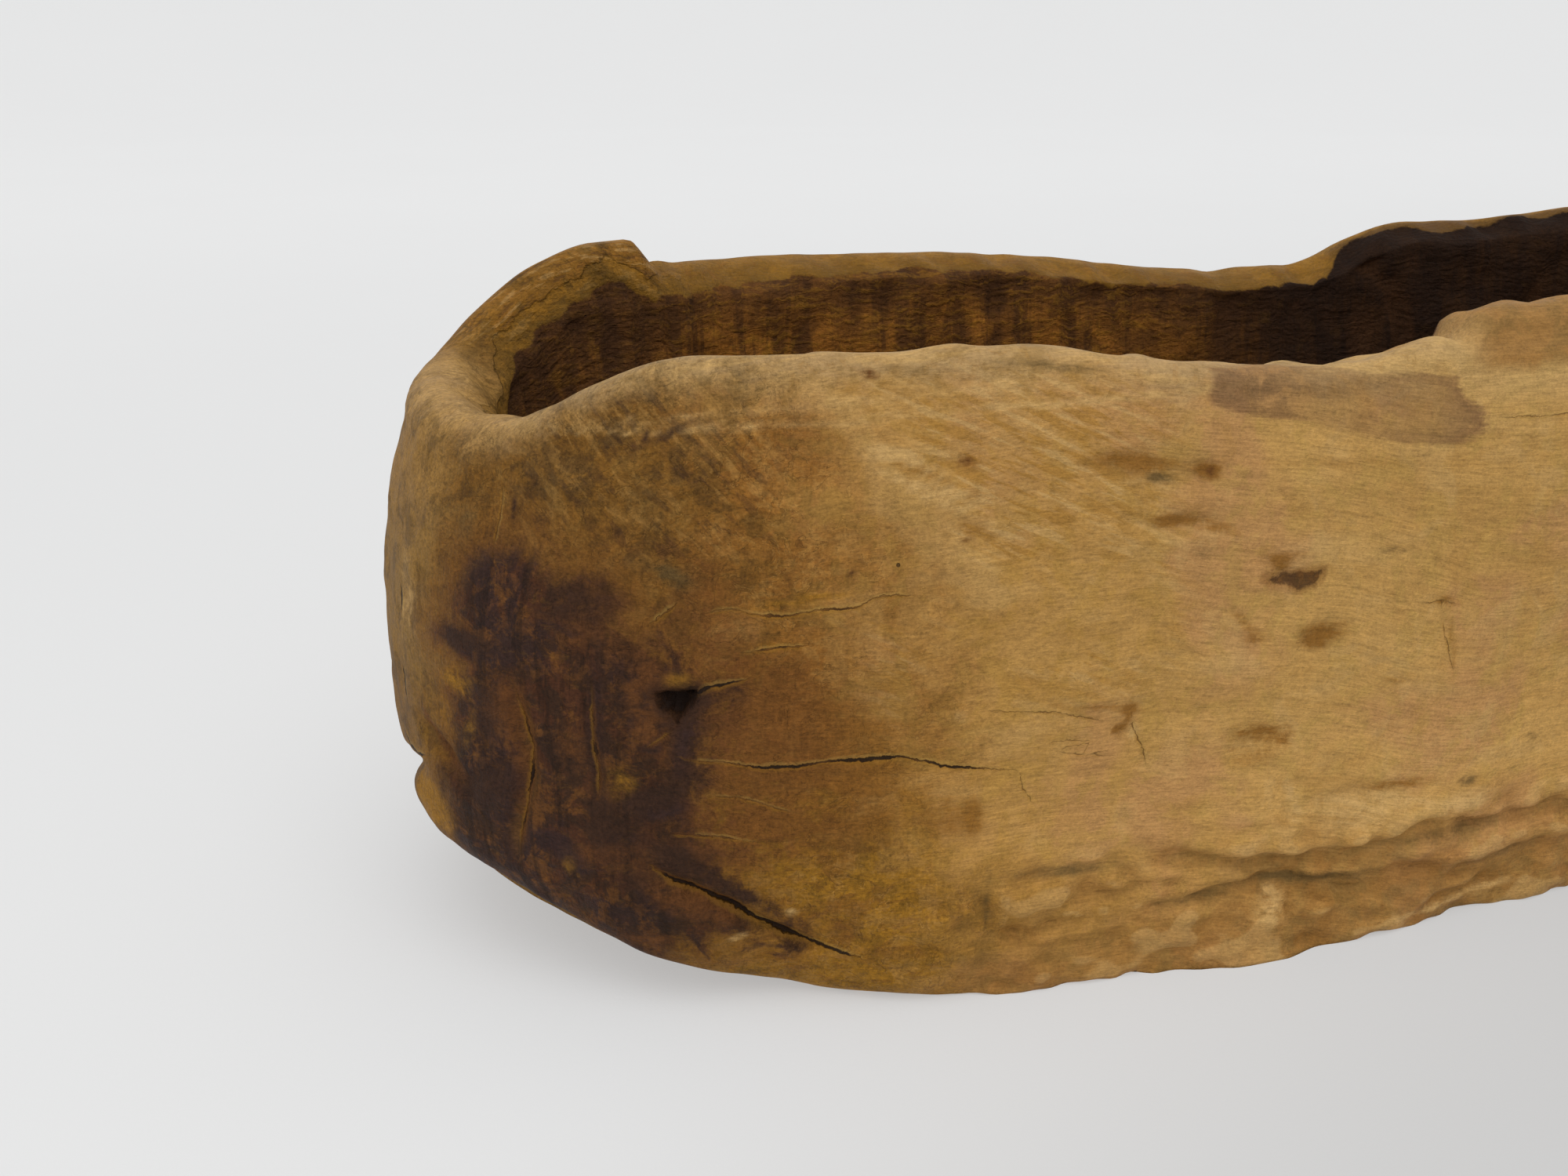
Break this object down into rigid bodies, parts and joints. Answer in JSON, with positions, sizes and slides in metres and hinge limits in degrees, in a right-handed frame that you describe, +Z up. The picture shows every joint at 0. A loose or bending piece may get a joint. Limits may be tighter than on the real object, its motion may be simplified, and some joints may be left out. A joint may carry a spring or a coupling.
{
  "type": "dugout water trough",
  "caption": "Long dugout trough hewn from a log: rounded ends, rim worn low at a corner and stepping up along both sides, deep hollow with gouge-fluted walls.",
  "frame": {"origin": "middle of the footprint's bounding box, on the ground under the base", "axes": "+X along the trough towards the end with the raised rim, +Y towards the side with the horn on its rim, +Z up"},
  "size_m": [1.4314, 0.5474, 0.4959],
  "materials": {
    "old_wood": "dry, hand-hewn and worn smooth, light brown with dark purple-brown stains"
  },
  "bodies": {
    "root": {"trough_body": "old_wood"}
  },
  "joints": []
}
